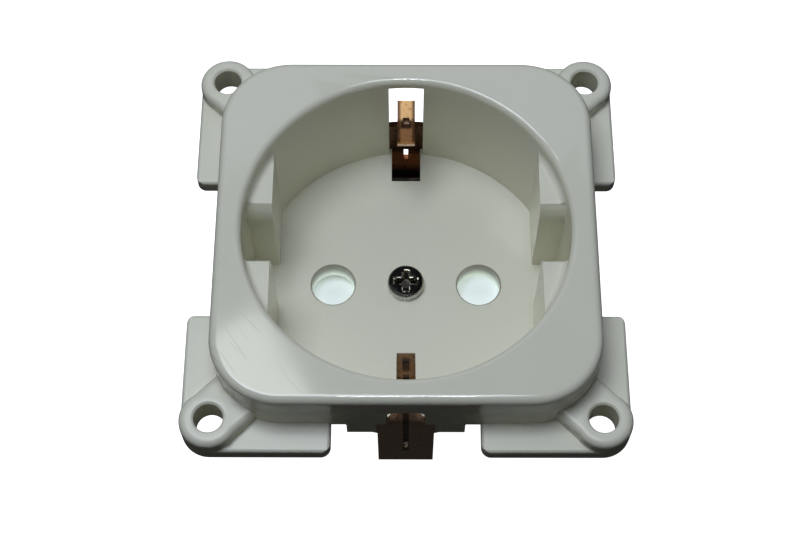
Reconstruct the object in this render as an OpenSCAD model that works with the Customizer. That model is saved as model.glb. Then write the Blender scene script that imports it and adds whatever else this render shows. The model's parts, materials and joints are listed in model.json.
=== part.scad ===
// Flush socket insert for a caravan wall: two round pins, two side earth clips, safety shutter.
// The frame has its origin between the four ear holes, on the rear face of the flange, with +Z out of the wall.

/* [Face and collar] */
// Side of the square face
face_w = 46.3; // [44.5:0.1:50]
// Radius of the corners of the face
face_corner_r = 8.6; // [5:0.1:12]
// Rounding of the front edge
face_edge_r = 1.0; // [0.4:0.1:1.6]
// Height of the face above the rear of the flange
face_h = 8.75; // [7:0.05:12]
// Thickness of the face plate
face_t = 1.8; // [1.2:0.1:2.2]
// Thickness of the collar wall
collar_wall = 1.6; // [1:0.1:1.6]

/* [Flange and ears] */
// Side of the square flange
flange_w = 53.5; // [53:0.1:56]
// Thickness of the flange
flange_t = 1.95; // [1.2:0.05:2.4]
// Rounding of the upper edge of the flange
flange_edge_r = 0.45; // [0.2:0.05:0.6]
// Gap between the flange arms above and below the face
end_gap_w = 17.8; // [15:0.1:24]
// Gap between the flange arms beside the face
side_gap_w = 18.3; // [15:0.1:24]
// Rounding of the free ends of the flange arms
arm_end_r = 1.2; // [0.4:0.1:2]
// Height of the ears above the rear of the flange
ear_h = 4.0; // [3:0.05:6]
// Rounding of the upper edge of the ears
ear_edge_r = 0.9; // [0.3:0.1:1]
// Radius of the ears
ear_r = 3.55; // [3.3:0.05:4]
// Diameter of the ear holes
ear_hole_d = 3.5; // [3:0.05:4.2]

/* [Rear tabs and windows] */
// Width of the tab below each side of the collar
tab_w = 14.1; // [10:0.1:14.8]
// Depth of the tabs below the rear of the flange
tab_drop = 1.1; // [0.5:0.1:3]
// Width of the earth window in the cup wall
window_w = 4.5; // [3.6:0.1:6]
// Face material left in front of the earth window
window_bridge = 1.35; // [0.8:0.05:3]
// Width of the earth window in the collar wall
arch_w = 4.7; // [4:0.1:6]
// Face material in front of the window in the collar wall
arch_bridge = 3.4; // [2.4:0.1:5]
// Width of the slot in the cup floor
floor_slot_w = 3.85; // [3:0.05:5]
// Length of the slot in the cup floor
floor_slot_l = 4.3; // [3:0.1:5]

/* [Cup] */
// Diameter of the cup at its rim
cup_d = 40.1; // [39:0.1:41]
// Taper of the cup, on the diameter
cup_taper = 0.5; // [0:0.05:1]
// Depth of the cup
cup_depth = 17.5; // [16:0.1:19]
// Wall of the cup
cup_wall = 1.0; // [0.8:0.05:1.2]
// Rounding of the rim
rim_r = 0.8; // [0.3:0.1:1.2]
// Thickness of the cup floor
floor_t = 2; // [1.5:0.1:2.4]
// Distance between the two flats of the side keys
key_flat = 33.1; // [31:0.1:35]
// Depth of the tops of the side keys below the face
key_sink = 2.5; // [1:0.1:6]
// Width of the groove between the side keys
groove_w = 5.9; // [4.6:0.1:8]
// Flare of the groove at its mouth, on each side
groove_flare = 1.05; // [0.4:0.05:2]
// Height of the flared part of the groove
groove_flare_h = 3; // [2.2:0.1:5]
// Rounding between the tops of the side keys and the cup wall
key_cove_r = 0.9; // [0.4:0.1:1.2]

/* [Pins] */
// Distance between the two pin holes
pin_spacing = 19; // [18.5:0.1:19.5]
// Diameter of the pin holes
pin_hole_d = 5.6; // [5:0.05:6]
// Outer diameter of the collars below the pin holes
pin_collar_d = 8.4; // [7.5:0.1:9]
// Height of the collars below the cup floor
pin_collar_h = 0.9; // [0.5:0.05:1.5]
// Diameter of the plug pins
plug_pin_d = 4.8; // [4.6:0.1:5]
// Length of the plug pins
plug_pin_l = 19; // [18:0.1:19.5]

/* [Centre screw] */
// Diameter of the screw
centre_screw_d = 3; // [2.5:0.1:3.2]
// Diameter of the screw head
centre_head_d = 4.75; // [4.4:0.05:6]
// Height of the screw head
centre_head_h = 1.25; // [0.9:0.05:1.8]
// Outer diameter of the sleeve below the floor
sleeve_d = 6.4; // [5.6:0.1:6.6]
// Outer diameter of the threaded bush
insert_d = 4.8; // [4.4:0.1:5.4]
// Length of the threaded bush
insert_l = 5; // [3.5:0.1:6]

/* [Earth strap] */
// Thickness of the earth strap
strap_t = 0.7; // [0.5:0.05:0.8]
// Width of the earth strap
strap_w = 7; // [6.4:0.1:7.4]
// Width of the contact tongues
tongue_w = 2.25; // [1.8:0.05:2.8]
// Width of the neck of the tongues
neck_w = 1.9; // [1.5:0.05:2.2]
// Distance between the two contact crests
crest_gap = 28.5; // [26:0.1:31]
// Depth of the contact crests below the face
crest_sink = 6; // [5:0.1:8]
// Depth of the tips of the tongues below the face
tip_sink = 2.85; // [2:0.05:4]
// Depth of the shoulders of the strap below the face
shoulder_sink = 12; // [10:0.1:13.5]
// Depth of the strap behind the cup floor
strap_drop = 8; // [7.4:0.1:9]

/* [Shutter] */
// Thickness of the shutter
shutter_t = 2; // [1.6:0.1:2.2]
// Outer radius of the shutter lobes
shutter_r = 12.5; // [12.4:0.1:12.8]
// Half of the angle of each shutter lobe
lobe_angle = 20; // [18:0.5:21]
// Wire diameter of the shutter spring
spring_wire = 0.4; // [0.3:0.05:0.45]
// Turns of the shutter spring
spring_turns = 3; // [2:1:3]

/* [Contact carrier] */
// Length of the carrier, along the line of the pins
carrier_x = 38; // [37.8:0.1:38.6]
// Width of the carrier
carrier_y = 23.6; // [23.4:0.1:24.6]
// Radius of the corners of the carrier
carrier_r = 3; // [1.5:0.1:4]
// Outer wall of the carrier
carrier_wall = 1.2; // [0.8:0.05:1.25]
// Thickness of the rear wall of the carrier
rear_wall = 1.1; // [0.8:0.05:1.6]

/* [Contacts and terminals] */
// Thickness of the contact brass
brass_t = 0.7; // [0.5:0.05:0.8]
// Gap between the contact leaves at their crest
leaf_gap = 4.2; // [3.8:0.05:4.5]
// Width of the contact leaves
leaf_w = 5.2; // [4:0.1:5.6]
// Thickness of the steel clips
clip_t = 0.4; // [0.25:0.05:0.5]
// Diameter of the terminal screws
terminal_d = 3.5; // [3:0.1:3.6]
// Diameter of the terminal screw heads
terminal_head_d = 6; // [5.4:0.1:6.2]
// Height of the terminal screw heads
terminal_head_h = 2; // [1.5:0.1:2.4]
// Side of the square clamp plates
clamp_w = 6.4; // [6:0.1:6.6]
// Thickness of the clamp plates
clamp_t = 1.1; // [0.8:0.05:1.4]
// Diameter of the wire entries
wire_hole_d = 3.8; // [3.2:0.1:3.9]
// Diameter of the holes for the screwdriver
driver_hole_d = 4.6; // [4:0.1:5]
// Shank diameter of the rivets
rivet_d = 2; // [1.6:0.1:2.2]

/* [Hidden] */
$fn = 96;
eps = 0.01;
big = 100;

// Clearances
strap_clear = 0.1;
running_clear = 0.05;
thread_clear = 0.03;
seat_clear = 0.05;

// Cup and floor levels, upwards from the rear of the flange
floor_z = face_h - cup_depth;
floor_low = floor_z - floor_t;
cup_r = cup_d / 2;
cup_floor_r = cup_r - cup_taper / 2;
cup_outer_r = cup_r + cup_wall;
key_top = face_h - key_sink;
collar_in = face_w / 2 - collar_wall;
ledge_z = 1.55;
ear_spacing = flange_w - 2 * ear_r;

// Earth strap
strap_top = floor_low - strap_drop + 2;
strap_mid = strap_top - strap_t / 2;
strap_low = strap_top - strap_t;
strap_out = collar_in - 0.2;
strap_arm_y = strap_out - strap_t / 2;
strap_in = strap_out - strap_t;
shoulder_z = face_h - shoulder_sink;
strap_bend_r = 0.5;

// Shutter
shutter_top = floor_low - pin_collar_h - strap_clear;
shutter_low = shutter_top - shutter_t;
deck_z = shutter_low - 0.15;
shutter_bore_r = sleeve_d / 2 + running_clear;
shutter_hub_r = shutter_bore_r + 1.95;
spring_r = sleeve_d / 2 + 0.55;
spring_pocket_r = spring_r + spring_wire / 2 + 0.4;

// Carrier and poles
pin_x = pin_spacing / 2;
channel_w = strap_w + 2 * strap_clear;
pin_end_z = floor_z - plug_pin_l;
chamber_low = pin_end_z - 0.25;
carrier_low = chamber_low - rear_wall;
chamber_w = 8.6;
chamber_y0 = -4.2;
pocket_y1 = carrier_y / 2 - carrier_wall;
pocket_x1 = carrier_x / 2 - carrier_wall;
pocket_x0 = pin_x - chamber_w / 2;
plate_top = deck_z - 5.3;
plate_low = plate_top - brass_t;
well_w = clamp_w + 0.5;
terminal_x = pocket_x1 - well_w / 2 - 0.05;
terminal_y = pocket_y1 - well_w / 2 - 0.05;
rivet_x = pin_x - 1.4;
rivet_y = terminal_y + 0.4;
rivet_hole_d = rivet_d + 0.1;
rivet_head_r = rivet_d * 0.85;
rivet_head_h = 0.6;
rivet_grip = 3.3;
rivet_well_d = 4.6;
strap_rivet_y = 8.4;
earth_y = carrier_y / 2 + clamp_w / 2 + 0.4;
insert_top = strap_low - 0.75;
terminal_bore_d = terminal_d + 2 * thread_clear;
collar_bush_d = terminal_d + 1.8;
collar_bush_h = 1.3;

// Plane helpers
function unit(v) = v / norm(v);
function turned(v) = [-v[1], v[0]];
function wrap(a) = a > 180 ? a - 360 : a < -180 ? a + 360 : a;

// Arc of radius r that rounds the corner b of the path a, b, c
function corner_arc(a, b, c, r, n) =
    let (
        u = unit(a - b),
        w = unit(c - b),
        half = acos(u * w) / 2,
        centre = b + unit(u + w) * r / sin(half),
        from = b + u * r / tan(half) - centre,
        to = b + w * r / tan(half) - centre,
        start = atan2(from[1], from[0]),
        sweep = wrap(atan2(to[1], to[0]) - start)
    )
    [for (i = [0:n]) centre + r * [cos(start + sweep * i / n), sin(start + sweep * i / n)]];

// Path with its inner corners rounded to the radii in the list
function rounded_path(path, radii, n = 5) = concat(
    [path[0]],
    [for (i = [1:len(path) - 2]) each corner_arc(path[i - 1], path[i], path[i + 1], radii[i - 1], n)],
    [path[len(path) - 1]]);

// Outline of a strip of thickness t along a path
function strip_outline(line, t) =
    let (
        last = len(line) - 1,
        side = [for (i = [0:last]) turned(unit(line[min(i + 1, last)] - line[max(i - 1, 0)])) * t / 2]
    )
    concat([for (i = [0:last]) line[i] + side[i]], [for (i = [last:-1:0]) line[i] - side[i]]);

module bent_strip(path, radii, t) {
    polygon(strip_outline(rounded_path(path, radii), t));
}

module rounded_rect(x0, y0, x1, y1, r) {
    translate([x0 + r, y0])
        square([x1 - x0 - 2 * r, y1 - y0]);
    translate([x0, y0 + r])
        square([x1 - x0, y1 - y0 - 2 * r]);
    for (x = [x0 + r, x1 - r], y = [y0 + r, y1 - r])
        translate([x, y])
            circle(r);
}

module rounded_square(w, r) {
    rounded_rect(-w / 2, -w / 2, w / 2, w / 2, r);
}

// Extrudes a YZ drawing along X, centred on X = 0
module along_x(w) {
    rotate([90, 0, 90])
        linear_extrude(w, center = true)
            children();
}

// Extrudes an XZ drawing along Y, centred on Y = 0
module along_y(w) {
    rotate([90, 0, 0])
        linear_extrude(w, center = true)
            children();
}

module slab(z0, z1) {
    translate([0, 0, z0])
        linear_extrude(z1 - z0)
            children();
}

module rod(r, z0, z1) {
    translate([0, 0, z0])
        cylinder(r = r, h = z1 - z0);
}

// Square block with round corners and a rolled front edge
module rolled_block(w, corner_r, edge_r, z0, z1) {
    slab(z0, z1 - edge_r)
        rounded_square(w, corner_r);
    slab(z0, z1)
        rounded_square(w - 2 * edge_r, corner_r - edge_r);
    straight = w / 2 - corner_r;
    for (side = [0:3])
        rotate([0, 0, 90 * side]) {
            translate([0, w / 2 - edge_r, z1 - edge_r])
                rotate([0, 90, 0])
                    cylinder(r = edge_r, h = 2 * straight, center = true);
            translate([straight, straight, z1 - edge_r])
                rotate_extrude()
                    translate([corner_r - edge_r, 0])
                        intersection() {
                            circle(edge_r);
                            translate([-(corner_r - edge_r), -edge_r])
                                square([corner_r, 2 * edge_r]);
                        }
        }
}

// Front housing

// Inside of the cup as a turned profile, with the rolled rim
module cup_hollow() {
    rim_z = face_h - rim_r;
    rim = [for (a = [180:-10:90]) [cup_r + rim_r + rim_r * cos(a), rim_z + rim_r * sin(a)]];
    rotate_extrude()
        polygon(concat([[0, floor_z], [cup_floor_r, floor_z]], rim, [[cup_r + rim_r, face_h + 1], [0, face_h + 1]]));
}

// Outside of the cup with its rounded rear corner
module cup_body() {
    foot_r = 3.2;
    foot = [for (a = [-90:10:0]) [cup_outer_r - foot_r + foot_r * cos(a), floor_low + foot_r + foot_r * sin(a)]];
    top = face_h - face_t / 2;
    rotate_extrude()
        polygon(concat([[0, floor_low]], foot, [[cup_outer_r, top], [0, top]]));
}

// Groove between two side keys, drawn across the groove, with its flared mouth
module groove_outline() {
    flare_r = (groove_flare * groove_flare + groove_flare_h * groove_flare_h) / (2 * groove_flare);
    flare_end = asin(groove_flare_h / flare_r);
    mouth = [for (i = [0:6])
        [groove_w / 2 + flare_r * (1 - cos(flare_end * i / 6)), key_top - groove_flare_h + flare_r * sin(flare_end * i / 6)]];
    right = concat([[groove_w / 2, floor_z - 1]], mouth, [[groove_w / 2 + groove_flare, face_h + 1]]);
    left = [for (i = [len(right) - 1:-1:0]) [-right[i][0], right[i][1]]];
    polygon(concat(right, left));
}

// Ring that rounds the corner between the tops of the keys and the cup wall
module key_cove() {
    arc = [for (a = [270:15:360]) [cup_r - key_cove_r + key_cove_r * cos(a), key_top + key_cove_r + key_cove_r * sin(a)]];
    back = cup_r + cup_wall / 2;
    rotate_extrude()
        polygon(concat([[cup_r - key_cove_r, key_top - eps]], arc, [[back, key_top + key_cove_r], [back, key_top - eps]]));
}

module side_keys() {
    difference() {
        intersection() {
            union() {
                rod(cup_r + cup_wall / 2, floor_z - eps, key_top);
                key_cove();
            }
            for (side = [-1, 1])
                translate([side * (key_flat / 2 + 5), 0, 0])
                    cube([10, big, big], center = true);
        }
        along_x(big)
            groove_outline();
    }
}

// Outer side of a bar of height h whose upper edge is rolled, from x = 0 to x = w
function rolled_profile(w, h, r) = concat(
    [[0, 0], [w, 0]],
    [for (a = [0:15:90]) [w - r + r * cos(a), h - r + r * sin(a)]],
    [[0, h]]);

// Flange arm that runs along X on the upper side, from its free end to the ear
module flange_arm(gap_w) {
    intersection() {
        slab(0, flange_t)
            intersection() {
                rounded_rect(gap_w / 2, collar_in - 3, flange_w, flange_w / 2, arm_end_r);
                translate([0, collar_in])
                    square([ear_spacing / 2, flange_w]);
            }
        along_x(big)
            polygon(rolled_profile(flange_w / 2, flange_t, flange_edge_r));
        translate([big / 2, 0, 0])
            mirror([1, 0, 0])
                along_y(big)
                    polygon(rolled_profile((big - gap_w) / 2, flange_t, flange_edge_r));
    }
}

// Ear: a round post on the diagonal and the band that joins it to the collar
module ear() {
    band_start = (face_w / 2 - face_corner_r) * sqrt(2) + face_corner_r - collar_wall * 0.8;
    post_at = ear_spacing / 2;
    band_r = ear_r - 0.1;
    band_h = ear_h - 0.03;
    translate([post_at, post_at, 0])
        rotate_extrude()
            polygon(rolled_profile(ear_r, ear_h, ear_edge_r));
    rotate(45)
        for (side = [0, 1])
            mirror([0, side, 0])
                rotate([90, 0, 90])
                    translate([0, 0, band_start])
                        linear_extrude(post_at * sqrt(2) - band_start)
                            polygon(rolled_profile(band_r, band_h, ear_edge_r));
}

module ear_hole() {
    lead = 0.25;
    rod(ear_hole_d / 2, -1, ear_h + 1);
    translate([0, 0, ear_h - lead])
        cylinder(r1 = ear_hole_d / 2, r2 = ear_hole_d / 2 + lead + eps, h = lead + eps);
}

// Tab that hangs from the collar wall on the upper side, with the notch for the strap
module rear_tab() {
    translate([0, collar_in, -tab_drop])
        for (side = [0, 1])
            mirror([side, 0, 0])
                translate([channel_w / 2, 0, 0])
                    cube([(tab_w - channel_w) / 2, collar_wall, tab_drop + ledge_z + 1]);
}

module stiffeners() {
    rib_t = 1.2;
    rib_low = 2.2;
    rib_y = side_gap_w / 2 + 1.85;
    intersection() {
        union()
            for (a = [45:90:315])
                rotate(a)
                    translate([cup_r + cup_wall / 2, -rib_t / 2, rib_low])
                        cube([face_w / 2, rib_t, face_h - face_t / 2 - rib_low]);
        slab(0, face_h)
            rounded_square(face_w - collar_wall, face_corner_r);
    }
    for (a = [0:90:270], y = [-1, 1] * rib_y)
        rotate(a)
            translate([cup_r - 2.6, y - rib_t / 2, rib_low])
                cube([collar_in + 0.5 - cup_r + 2.6, rib_t, face_h - face_t / 2 - rib_low]);
}

// Earth windows through the cup wall, the floor and the collar wall, on the upper side
module earth_window() {
    window_top = face_h - window_bridge;
    arch_top = face_h - arch_bridge;
    arch_r = 1.1;
    translate([-window_w / 2, cup_floor_r - 1.6, floor_z])
        cube([window_w, 3.6, window_top - floor_z]);
    translate([-floor_slot_w / 2, cup_floor_r - floor_slot_l, floor_low - 1])
        cube([floor_slot_w, floor_slot_l + 2.5, floor_t + 1 + eps]);
    translate([0, collar_in + collar_wall / 2, 0])
        along_y(collar_wall + 1)
            rounded_rect(-arch_w / 2, -2 * arch_r, arch_w / 2, arch_top, arch_r);
    translate([-channel_w / 2, strap_in - strap_clear, floor_low - 1])
        cube([channel_w, strap_t + 0.3, shoulder_z + 1.2 - floor_low + 1]);
    translate([-channel_w / 2, collar_in - eps, -big / 2])
        cube([channel_w, collar_wall + 1, ledge_z + big / 2]);
}

module pin_hole() {
    lead = 0.15;
    rod(pin_hole_d / 2, floor_low - pin_collar_h - 1, floor_z + 1);
    translate([0, 0, floor_z - lead])
        cylinder(r1 = pin_hole_d / 2, r2 = pin_hole_d / 2 + lead + eps, h = lead + eps);
}

module front_housing() {
    color([0.80, 0.82, 0.79])
        difference() {
            union() {
                difference() {
                    rolled_block(face_w, face_corner_r, face_edge_r, 0, face_h);
                    slab(-1, face_h - face_t)
                        rounded_square(face_w - 2 * collar_wall, face_corner_r - collar_wall);
                    for (side = [-1, 1])
                        translate([0, side * (collar_in + collar_wall / 2), ledge_z / 2 - 0.5])
                            cube([end_gap_w, collar_wall + 2, ledge_z + 1], center = true);
                }
                cup_body();
                for (x = [0, 1], y = [0, 1])
                    mirror([x, 0, 0])
                        mirror([0, y, 0]) {
                            flange_arm(end_gap_w);
                            mirror([1, -1, 0])
                                flange_arm(side_gap_w);
                            ear();
                        }
                for (side = [0, 1])
                    mirror([0, side, 0])
                        rear_tab();
                stiffeners();
                rod(sleeve_d / 2, strap_top, floor_low + eps);
                for (side = [-1, 1])
                    translate([side * pin_x, 0, 0])
                        rod(pin_collar_d / 2, floor_low - pin_collar_h, floor_low + eps);
            }
            difference() {
                cup_hollow();
                side_keys();
            }
            for (side = [0, 1])
                mirror([0, side, 0])
                    earth_window();
            for (side = [-1, 1])
                translate([side * pin_x, 0, 0])
                    pin_hole();
            rod(centre_screw_d / 2 + 0.15, strap_top - 1, face_h);
            for (x = [-1, 1], y = [-1, 1])
                translate([x * ear_spacing / 2, y * ear_spacing / 2, 0])
                    ear_hole();
        }
}

// Fasteners

// Cross recess, cut downwards from z = 0
module cross_recess(span, arm, depth) {
    intersection() {
        translate([0, 0, -depth])
            cylinder(r1 = span * 0.2, r2 = span / 2, h = depth + eps);
        union()
            for (a = [0, 90])
                rotate(a)
                    cube([span, arm, 2 * depth + 1], center = true);
    }
    translate([0, 0, -depth])
        cylinder(r1 = 0.2, r2 = arm * 0.85, h = depth + eps);
}

module centre_screw() {
    head_top = floor_z + centre_head_h;
    roll = 0.45;
    tip_z = insert_top - insert_l + 0.4;
    dome = [for (a = [0:15:90])
        [centre_head_d / 2 - roll + roll * cos(a), head_top - roll + roll * sin(a)]];
    color([0.55, 0.55, 0.55])
        difference() {
            rotate_extrude()
                polygon(concat(
                    [[0, tip_z], [centre_screw_d / 2 - 0.3, tip_z], [centre_screw_d / 2, tip_z + 0.3],
                        [centre_screw_d / 2, floor_z], [centre_head_d / 2, floor_z]],
                    dome, [[0, head_top]]));
            translate([0, 0, head_top])
                cross_recess(3.1, 0.85, 0.95);
        }
}

module centre_insert() {
    color([0.80, 0.66, 0.32])
        difference() {
            rod(insert_d / 2, insert_top - insert_l, insert_top);
            rod(centre_screw_d / 2 + thread_clear, insert_top - insert_l - 1, insert_top + 1);
            for (z = [insert_top - insert_l * 0.35, insert_top - insert_l * 0.65])
                translate([0, 0, z])
                    rotate_extrude()
                        translate([insert_d / 2, 0])
                            circle(0.25);
        }
}

// Rivet with a domed head on top of z = 0 and a formed tail below the grip
module rivet(grip) {
    head = [for (a = [0:15:90]) [rivet_head_r * cos(a), rivet_head_h * sin(a)]];
    tail = [for (a = [-90:15:0]) [rivet_head_r * cos(a), -grip + rivet_head_h * sin(a)]];
    rotate_extrude()
        polygon(concat(tail, [[rivet_d / 2, -grip], [rivet_d / 2, 0]], head));
}

module contact_rivet(side) {
    color([0.72, 0.60, 0.32])
        translate([side * rivet_x, rivet_y, plate_top])
            rivet(rivet_grip);
}

module strap_rivets() {
    color([0.72, 0.60, 0.32])
        for (side = [-1, 1])
            translate([0, side * strap_rivet_y, strap_top])
                rivet(rivet_grip);
}

// Earth strap

// Bend points of the upper tongue, Y and Z
crest_y = crest_gap / 2 + strap_t / 2;
crest_z = face_h - crest_sink;
strap_tip = [cup_floor_r - 0.7, face_h - tip_sink];
strap_knee = (strap_tip + [crest_y, crest_z]) / 2 + [0, 0.3];

// Side view of the strap from tip to tip, Y to the right
function strap_path() =
    let (
        arm = [
            strap_tip,
            strap_knee,
            [crest_y - 0.2, crest_z - 0.2],
            [strap_arm_y, shoulder_z + 0.5],
            [strap_arm_y, strap_mid]]
    )
    concat(arm, [for (i = [len(arm) - 1:-1:0]) [-arm[i][0], arm[i][1]]]);

// Front view of one half of the strap, with the shoulders and the bell of the neck
module strap_front() {
    half = [
        [strap_w / 2, strap_low - 1],
        [strap_w / 2, shoulder_z],
        [strap_w / 2 - 0.95, shoulder_z],
        [neck_w / 2 + 1.15, shoulder_z + 0.45],
        [neck_w / 2 + 0.6, shoulder_z + 0.75],
        [neck_w / 2 + 0.15, shoulder_z + 1.15],
        [neck_w / 2, shoulder_z + 1.6],
        [tongue_w / 2, shoulder_z + 3],
        [tongue_w / 2, face_h]];
    polygon(concat(half, [for (i = [len(half) - 1:-1:0]) [-half[i][0], half[i][1]]]));
}

module earth_strap() {
    slot_w = 0.6;
    slot_top = strap_top + 7.7;
    slot_h = 2.6;
    bead_depth = 0.2;
    eye_w = 0.8;
    eye_depth = 0.35;
    lead = strap_tip - strap_knee;
    foot = strap_bend_r + strap_t / 2;
    color([0.62, 0.36, 0.18])
        difference() {
            union() {
                intersection() {
                    along_x(strap_w)
                        bent_strip(strap_path(), [2, 0.8, 1.4, foot, foot, 1.4, 0.8, 2], strap_t);
                    along_y(big)
                        strap_front();
                }
                translate([0, earth_y, 0])
                    rod(collar_bush_d / 2, strap_mid, strap_top + collar_bush_h);
            }
            for (side = [-1, 1]) {
                translate([0, side * strap_arm_y, slot_top - slot_h / 2])
                    cube([slot_w, 2, slot_h], center = true);
                translate([0, side * (strap_out + 1 - bead_depth), (slot_top + shoulder_z) / 2])
                    cube([slot_w, 2, shoulder_z - slot_top], center = true);
                translate([0, side * strap_knee[0], strap_knee[1]])
                    rotate([side * atan2(lead[1], lead[0]), 0, 0])
                        translate([0, 0, strap_t / 2])
                            cube([eye_w, eye_w, 2 * eye_depth], center = true);
                translate([0, side * strap_rivet_y, 0])
                    rod(rivet_hole_d / 2, strap_low - 1, strap_top + 1);
            }
            rod(centre_screw_d / 2 + 0.2, strap_low - 1, strap_top + 1);
            translate([0, earth_y, 0])
                rod(terminal_bore_d / 2, strap_low - 1, strap_top + collar_bush_h + 1);
        }
}

// Shutter and its spring
module lobe_outline() {
    intersection() {
        circle(shutter_r);
        polygon([[0, 0], 2 * shutter_r * [cos(lobe_angle), -sin(lobe_angle)],
            2 * shutter_r * [cos(lobe_angle), sin(lobe_angle)]]);
    }
}

module shutter() {
    ramp_drop = shutter_t - 0.8;
    color([0.93, 0.95, 0.94])
        difference() {
            union() {
                rod(shutter_hub_r, shutter_low, shutter_top);
                for (side = [0, 1])
                    rotate(180 * side)
                        difference() {
                            slab(shutter_low, shutter_top)
                                lobe_outline();
                            translate([pin_x + 0.3, 0, shutter_top])
                                rotate([atan(ramp_drop / (plug_pin_d + 1)), 0, 0])
                                    translate([0, -shutter_r, shutter_t])
                                        cube([plug_pin_d + 1.6, 2 * shutter_r, 2 * shutter_t], center = true);
                        }
            }
            rod(shutter_bore_r, shutter_low - 1, shutter_top + 1);
            translate([0, -spring_r, 0])
                rod(spring_wire * 0.75, shutter_low - 1, shutter_top + 1);
        }
}

// Rings of points along the spring wire: an inner leg, the coil, and a leg that points up
module shutter_spring() {
    steps = 20 * spring_turns;
    sides = 6;
    pitch = spring_wire * 1.2;
    coil_low = strap_top + 0.15;
    line = concat(
        [for (i = [0:steps])
            [spring_r * cos(360 * i / 20 - 90), spring_r * sin(360 * i / 20 - 90),
                coil_low + spring_wire / 2 + pitch * i / 20]],
        [[0, -spring_r, shutter_low + 0.8]]);
    last = len(line) - 1;
    points = [for (i = [0:last])
        let (
            along = unit(line[min(i + 1, last)] - line[max(i - 1, 0)]),
            outward = unit([line[i][0], line[i][1], 0]),
            across = unit(cross(along, outward)),
            level = cross(across, along)
        )
        each [for (s = [0:sides - 1])
            line[i] + spring_wire / 2 * (cos(360 * s / sides) * level + sin(360 * s / sides) * across)]];
    skin = [for (i = [0:last - 1], s = [0:sides - 1])
        let (a = i * sides + s, b = i * sides + (s + 1) % sides)
        each [[a, b, b + sides], [a, b + sides, a + sides]]];
    caps = [[for (s = [sides - 1:-1:0]) s], [for (s = [0:sides - 1]) last * sides + s]];
    color([0.70, 0.71, 0.72])
        polyhedron(points = points, faces = concat(skin, caps));
}

// Contact carrier
module carrier_outline() {
    rounded_rect(-carrier_x / 2, -carrier_y / 2, carrier_x / 2, carrier_y / 2, carrier_r);
}

// Everything that is cut for the right-hand pole
module pole_cuts() {
    core_wall = 1.3;
    translate([pocket_x0, chamber_y0, plate_low])
        cube([pocket_x1 - pocket_x0, pocket_y1 - chamber_y0, big]);
    translate([pocket_x0, chamber_y0, chamber_low])
        cube([chamber_w, 4.4 - chamber_y0, big]);
    translate([terminal_x, terminal_y, 0]) {
        translate([-well_w / 2, -well_w / 2, chamber_low])
            cube([well_w, well_w, plate_low - chamber_low + 1]);
        rod(driver_hole_d / 2, carrier_low - 1, chamber_low + 1);
        translate([0, 0, plate_low - 1.9])
            rotate([-90, 0, 0])
                cylinder(d = wire_hole_d, h = big);
    }
    translate([rivet_x, rivet_y, 0]) {
        rod(rivet_hole_d / 2, carrier_low - 1, plate_top);
        rod(rivet_well_d / 2, carrier_low - 1, plate_top - rivet_grip);
    }
    translate([pocket_x0, -carrier_y / 2 + core_wall, carrier_low - 1])
        cube([pocket_x1 - pocket_x0, carrier_y / 2 + chamber_y0 - 2 * core_wall, deck_z - core_wall - carrier_low + 1]);
}

module contact_carrier() {
    stop_x = shutter_r * 0.87;
    stop_r = 0.8;
    color([0.86, 0.87, 0.85])
        difference() {
            union() {
                slab(carrier_low, deck_z)
                    carrier_outline();
                difference() {
                    slab(carrier_low, floor_low)
                        carrier_outline();
                    slab(deck_z, floor_low + 1)
                        rounded_rect(-pocket_x1, -pocket_y1, pocket_x1, pocket_y1, carrier_r - carrier_wall);
                }
                for (side = [0, 1])
                    rotate(180 * side)
                        rotate(-lobe_angle)
                            translate([stop_x, -stop_r - 0.15, 0])
                                rod(stop_r, deck_z - 1, shutter_top);
            }
            for (side = [0, 1])
                mirror([side, 0, 0])
                    pole_cuts();
            translate([-channel_w / 2, -carrier_y, strap_low])
                cube([channel_w, 2 * carrier_y, big]);
            rod(spring_pocket_r, strap_top, deck_z + 1);
            rod(centre_screw_d / 2 + 0.2, insert_top - 1, strap_top);
            rod(insert_d / 2 + 0.01, carrier_low - 1, insert_top);
            for (side = [-1, 1])
                translate([0, side * strap_rivet_y, 0]) {
                    rod(rivet_hole_d / 2, carrier_low - 1, strap_top);
                    rod(rivet_well_d / 2, carrier_low - 1, strap_top - rivet_grip);
                }
        }
}

// Contacts

// Front view of one leaf, right of the pin axis: root, lean, crest and lead-in
leaf_low = plate_low - 4.2;
leaf_bend = plate_low + 0.2;
leaf_crest_z = deck_z - 2.9;
leaf_root_x = plug_pin_d / 2 + 0.3 + brass_t / 2;
leaf_crest_x = leaf_gap / 2 + brass_t / 2;
leaf_path = [
    [leaf_root_x, leaf_low],
    [leaf_root_x, leaf_bend],
    [leaf_crest_x - 0.1, leaf_crest_z],
    [leaf_root_x + 0.1, deck_z - 0.5]];
back_y = leaf_w / 2 + 0.5;

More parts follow.
